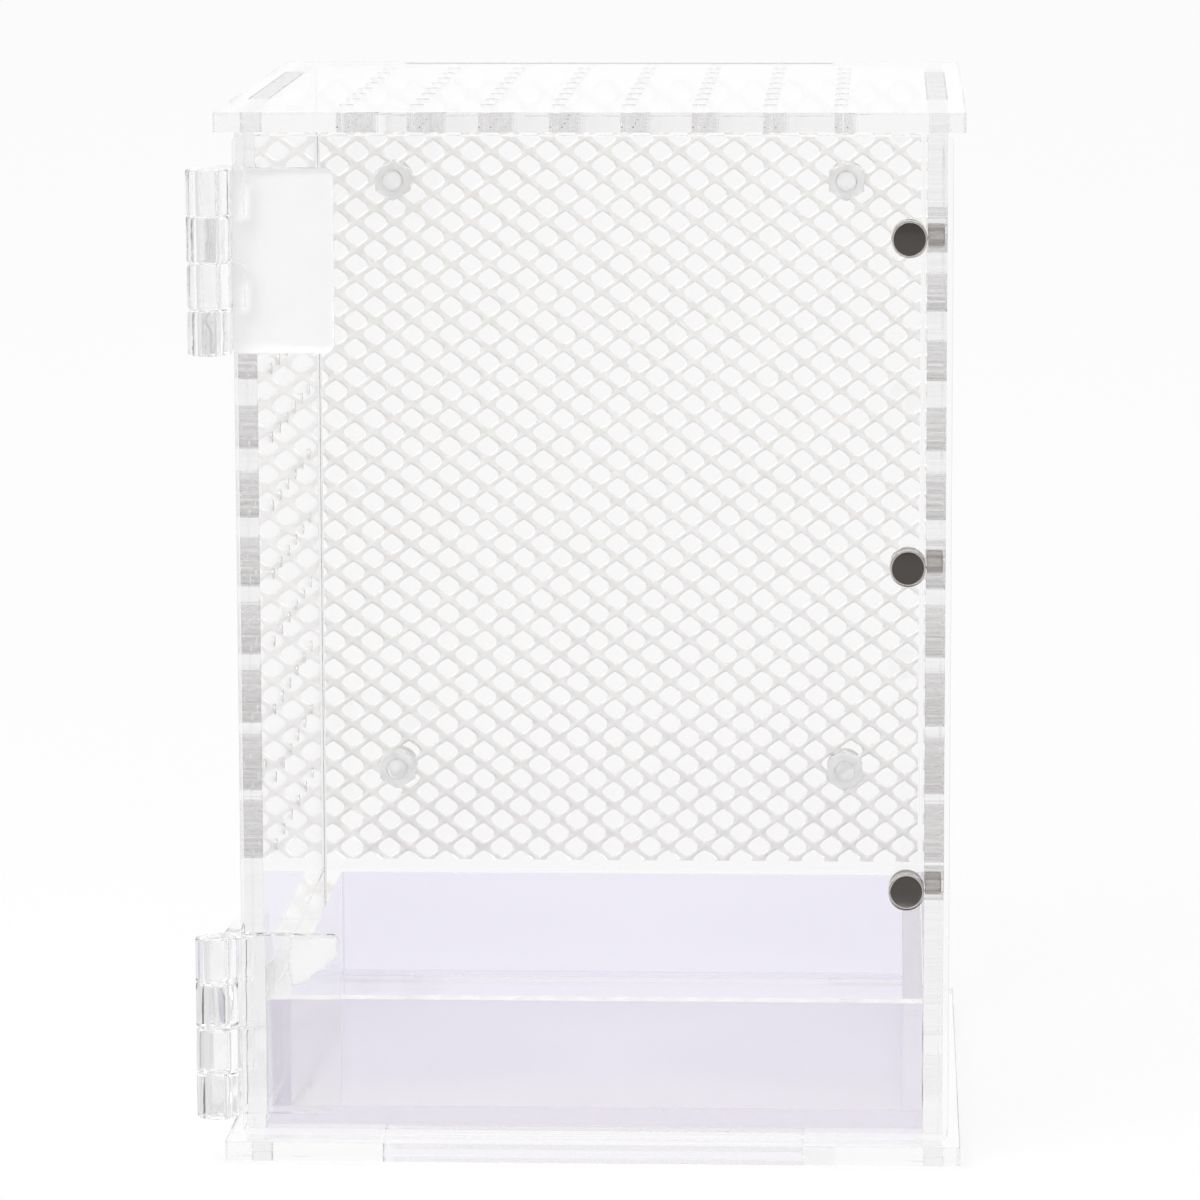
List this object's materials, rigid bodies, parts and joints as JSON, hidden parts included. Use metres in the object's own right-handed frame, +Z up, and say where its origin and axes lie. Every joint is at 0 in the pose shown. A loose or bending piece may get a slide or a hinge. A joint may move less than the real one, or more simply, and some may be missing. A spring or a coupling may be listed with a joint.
{
  "type": "acrylic breeding box",
  "caption": "Clear upright acrylic breeding box with a hinged magnetic front door, air holes, a climbing mesh on the back and a low well for substrate.",
  "frame": {"origin": "centre of the base plate's underside", "axes": "+Z up, +X to the right seen from the door, +Y from the door to the back"},
  "size_m": [0.1087, 0.1095, 0.15],
  "materials": {
    "clear_acrylic": "clear cast acrylic sheet, polished faces, laser cut edges",
    "tinted_acrylic": "faintly lavender acrylic sheet, polished",
    "clear_hinge": "moulded clear plastic, glossy",
    "hinge_pin": "moulded clear plastic pin",
    "clear_adhesive": "set clear adhesive, slightly milky",
    "clear_fastener": "moulded translucent plastic",
    "mesh_metal": "pale satin metal mesh, cut edges",
    "magnet_nickel": "nickel plated disc"
  },
  "bodies": {
    "case": {"base_plate": "clear_acrylic", "top_plate": "clear_acrylic", "left_wall": "clear_acrylic", "right_wall": "clear_acrylic", "back_panel": "clear_acrylic", "back_mesh": "mesh_metal", "mesh_screws": "clear_fastener", "mesh_nuts": "clear_fastener", "well_front": "tinted_acrylic", "well_floor": "tinted_acrylic", "well_left": "tinted_acrylic", "well_right": "tinted_acrylic", "well_back": "tinted_acrylic", "wall_magnet_upper": "magnet_nickel", "wall_magnet_middle": "magnet_nickel", "wall_magnet_lower": "magnet_nickel", "upper_hinge_wall_leaf": "clear_hinge", "upper_hinge_pin": "hinge_pin", "upper_hinge_wall_adhesive": "clear_adhesive", "lower_hinge_wall_leaf": "clear_hinge", "lower_hinge_pin": "hinge_pin", "lower_hinge_wall_adhesive": "clear_adhesive"},
    "door": {"door_panel": "clear_acrylic", "door_magnet_upper": "magnet_nickel", "door_magnet_middle": "magnet_nickel", "door_magnet_lower": "magnet_nickel", "upper_hinge_door_leaf": "clear_hinge", "upper_hinge_door_adhesive": "clear_adhesive", "lower_hinge_door_leaf": "clear_hinge", "lower_hinge_door_adhesive": "clear_adhesive"}
  },
  "joints": [
    {"name": "door_hinge", "type": "hinge", "parent": "case", "child": "door", "pos_m": [-0.0532, -0.054, 0.075], "axis": [0, 0, -1], "range_deg": [0, 270]}
  ]
}
